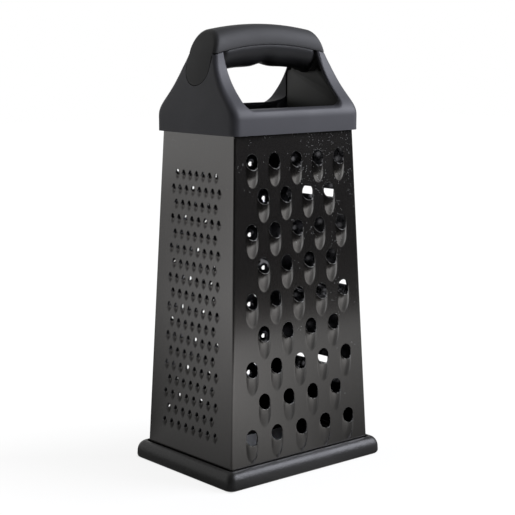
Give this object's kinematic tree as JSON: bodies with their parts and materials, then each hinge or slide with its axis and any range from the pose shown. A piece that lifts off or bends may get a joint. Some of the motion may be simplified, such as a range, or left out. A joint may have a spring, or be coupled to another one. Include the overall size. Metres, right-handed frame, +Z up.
{
  "type": "box grater",
  "caption": "Tapered box grater with punched dark steel sides, a moulded cap with an arched soft grip and a flared base rim, for grating and slicing food by hand.",
  "frame": {"origin": "middle of the underside, on the surface that the grater stands on", "axes": "+Z up through the grip, +X from the fine side to the slicing side, -Y the coarse side"},
  "size_m": [0.1054, 0.081, 0.23],
  "materials": {
    "coated_steel": "thin dark semi-gloss coating on sheet steel",
    "rim_rubber": "soft satin",
    "cap_plastic": "fine moulded texture",
    "grip_rubber": "soft satin",
    "underside_plastic": "fine moulded texture",
    "liner_plastic": "smooth moulded"
  },
  "bodies": {
    "root": {"coarse_panel": "coated_steel", "fine_panel": "coated_steel", "slicer_panel": "coated_steel", "zest_panel": "coated_steel", "base_rim": "rim_rubber", "handle_frame": "cap_plastic", "grip_cover": "grip_rubber", "grip_underside": "underside_plastic", "post_liner_left": "liner_plastic", "post_liner_right": "liner_plastic"}
  },
  "joints": []
}
